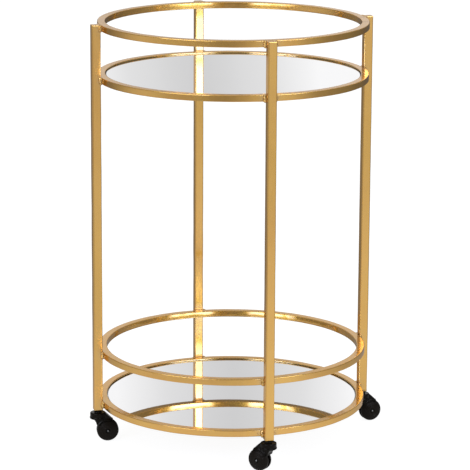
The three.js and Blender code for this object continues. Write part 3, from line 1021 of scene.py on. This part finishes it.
def disc_object(name, radius, z, rings, material):
    """A flat disc of quads, finer towards the middle."""
    n = 96
    radii = [0] + [radius * (k / rings) ** 2 for k in range(1, rings + 1)]
    verts, faces = [(0, 0, z / MM)], []
    for r in radii[1:]:
        verts += [(r / MM * math.cos(2 * math.pi * k / n), r / MM * math.sin(2 * math.pi * k / n), z / MM) for k in range(n)]
    for k in range(n):
        faces.append((0, 1 + k, 1 + (k + 1) % n))
        for i in range(rings - 1):
            a, b = 1 + i * n, 1 + (i + 1) * n
            faces.append((a + k, b + k, b + (k + 1) % n, a + (k + 1) % n))
    o = mesh_object(name, verts, faces)
    o.data.materials.append(material)
    return o


floor = disc_object("studio_floor", 16, 0.0, 12, floor_material())
floor.visible_glossy = False
# painted reflection: a glowing disc just under the floor, seen only by reflections
glow = disc_object("studio_floor_painted_reflection", 16, -0.002, 12, painted_reflection_glow_material())
glow.visible_camera = glow.visible_diffuse = glow.visible_shadow = glow.visible_transmission = False


def make_world():
    """Soft studio light by direction: a pale backdrop behind, a dim room on the camera's side, and a wide soft light overhead."""
    world = bpy.data.worlds.new("studio")
    bpy.context.scene.world = world
    world.use_nodes = True
    nt = world.node_tree
    bg = next(n for n in nt.nodes if n.type == "BACKGROUND")
    tc = nt.nodes.new("ShaderNodeTexCoord")
    az, x, y, z = polar(nt, tc.outputs["Generated"])
    deg = 180 / math.pi
    el = math_node(nt, "MULTIPLY", math_node(nt, "ARCSINE", z), deg)
    # the backdrop: greyer in the middle, white to its sides
    ahead = math_node(nt, "MULTIPLY", math_node(nt, "ARCTAN2", x, y), deg)
    shift = map_range(nt, el, 9, 16, -0.9, 0.0)
    off = math_node(nt, "ABSOLUTE", math_node(nt, "SUBTRACT", ahead, shift))
    back = ramp(nt, map_range(nt, off, 0, 5, 0, 1), [(0, 0.67), (0.17, 0.74), (0.34, 0.83), (0.52, 0.99), (0.70, 1.08), (1, 1.10)])
    # and greyer again well to the sides, so that a mirror seen from there still reads as one
    back = math_node(nt, "MULTIPLY", back, map_range(nt, off, 6, 18, 1.0, 0.72, True))
    aaz = math_node(nt, "ABSOLUTE", az)
    side = map_range(nt, aaz, 95, 150, 1.0, 0.0, True)
    # the backdrop hangs from 18 degrees up down to just above the horizon
    hang = math_node(nt, "MULTIPLY", map_range(nt, el, 4.0, 8.0, 0.0, 1.0, True), map_range(nt, el, 17.5, 25.0, 1.0, 0.0, True))
    back = math_node(nt, "MULTIPLY", back, hang)
    gap = map_range(nt, el, 6.0, 18.0, 0.14, 0.24, True)
    back = math_node(nt, "ADD", back, math_node(nt, "MULTIPLY", gap, math_node(nt, "SUBTRACT", 1.0, hang)))
    e = math_node(nt, "ADD", math_node(nt, "MULTIPLY", back, math_node(nt, "SUBTRACT", 1.0, side)), math_node(nt, "MULTIPLY", side, 0.26))
    top = map_range(nt, el, 21, 42, 0.0, 0.55, True)
    e = math_node(nt, "ADD", e, top)
    # the room itself is white to the eye
    path = nt.nodes.new("ShaderNodeLightPath")
    seen = path.outputs["Is Camera Ray"]
    e = math_node(nt, "ADD", math_node(nt, "MULTIPLY", e, math_node(nt, "SUBTRACT", 1.0, seen)), seen)
    nt.links.new(e, bg.inputs["Strength"])
    bg.inputs["Color"].default_value = (1, 1, 1, 1)


make_world()


def soft_box(name, azimuth, distance, width, low, high, radiance):
    """An upright soft box, azimuth in degrees from the photographer's direction, to the right."""
    for k in range(4):  # nested panels, brightest in the middle
        t = k / 4
        panel(f"{name}_{k}", azimuth, distance + 0.01 * k, width * (1 - 0.35 * t), low + 0.32 * t, high - 0.2 * t, radiance / 4)


def panel(name, azimuth, distance, width, low, high, radiance):
    data = bpy.data.lights.new(name, "AREA")
    data.shape = "RECTANGLE"
    data.size, data.size_y = width, high - low
    data.energy = radiance * math.pi * width * (high - low)
    data.color = (0.82, 0.94, 1.18)  # daylight, a little cooler than the room
    o = bpy.data.objects.new(name, data)
    bpy.context.scene.collection.objects.link(o)
    a = math.radians(azimuth)
    o.location = RIGHT * math.sin(a) * distance - AHEAD * math.cos(a) * distance + Vector((0, 0, (low + high) / 2))
    o.rotation_mode = "QUATERNION"
    o.rotation_quaternion = (Vector((0, 0, (low + high) / 2)) - o.location).to_track_quat("-Z", "Y")
    o.visible_camera = False
    return o


soft_box("soft_box_right", 41, 2.6, 2.2, 0.75, 1.6, 7.0)
soft_box("soft_box_left", -39, 2.6, 2.3, 0.68, 1.6, 6.0)

# --------------------------------------------------------------------- camera
cam_data = bpy.data.cameras.new("camera")
cam = bpy.data.objects.new("camera", cam_data)
bpy.context.scene.collection.objects.link(cam)
bpy.context.scene.camera = cam
cam_data.sensor_width = 36.0
cam_data.lens = 201.0
cam_data.clip_end = 60
PITCH, ROLL = 0.22775, 0.0054
loc = RIGHT * 0.0040 - AHEAD * 3.85 + Vector((0, 0, 1.199))
look = AHEAD * math.cos(PITCH) - Vector((0, 0, math.sin(PITCH)))
up0 = AHEAD * math.sin(PITCH) + Vector((0, 0, math.cos(PITCH)))
r = RIGHT * math.cos(ROLL) + up0 * math.sin(ROLL)
u = up0 * math.cos(ROLL) - RIGHT * math.sin(ROLL)
cam.matrix_world = Matrix(((r.x, u.x, -look.x, loc.x), (r.y, u.y, -look.y, loc.y), (r.z, u.z, -look.z, loc.z), (0, 0, 0, 1)))

sc = bpy.context.scene
sc.view_settings.view_transform = "Standard"
sc.view_settings.look = "None"
sc.cycles.use_denoising = True
